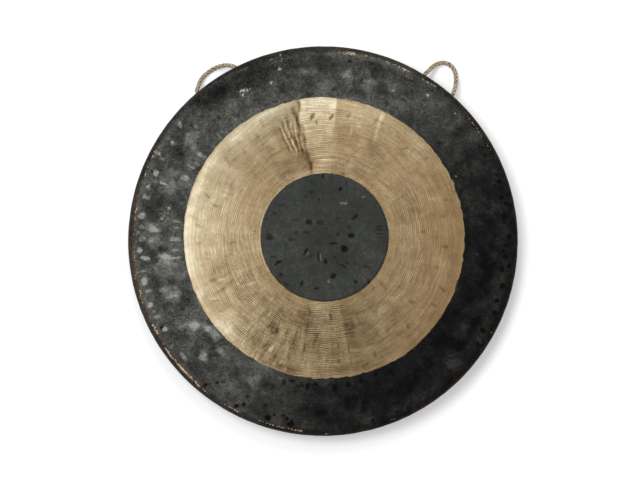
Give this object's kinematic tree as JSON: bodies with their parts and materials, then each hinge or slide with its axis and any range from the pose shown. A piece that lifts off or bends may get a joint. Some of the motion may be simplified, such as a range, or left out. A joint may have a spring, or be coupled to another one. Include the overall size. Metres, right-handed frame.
{
  "type": "tam-tam",
  "caption": "Round tam-tam of hammered bronze with a turned-back rim, dark skin and a scraped bright ring, hung by knotted jute rope loops that swing.",
  "frame": {"origin": "centre of the circle that the rim's back edge stands on, with the gong lying face up", "axes": "+Z out of the face along the gong's axis, +Y towards the top of the gong as it hangs, +X to the right as seen from the front"},
  "size_m": [0.6, 0.6, 0.068],
  "materials": {
    "patinated_bronze": "bell bronze, hammered, with a charcoal black skin, scraped to bright concentric grooves in a ring",
    "jute_rope": "natural jute, twisted, matte and slightly hairy"
  },
  "bodies": {
    "gong": {"gong_disc": "patinated_bronze", "left_rope_upper_knot": "jute_rope", "left_rope_lower_knot": "jute_rope", "right_rope_upper_knot": "jute_rope", "right_rope_lower_knot": "jute_rope"},
    "left_loop": {"left_rope_loop": "jute_rope"},
    "right_loop": {"right_rope_loop": "jute_rope"}
  },
  "joints": [
    {"name": "left_loop_swing", "type": "hinge", "parent": "gong", "child": "left_loop", "pos_m": [-0.17246, 0.24629, 0.02766], "axis": [0.8191, 0.5736, 0], "range_deg": [-35, 110]},
    {"name": "right_loop_swing", "type": "hinge", "parent": "gong", "child": "right_loop", "pos_m": [0.17293, 0.24696, 0.02766], "axis": [0.8191, -0.5736, 0], "range_deg": [-55, 100]}
  ]
}
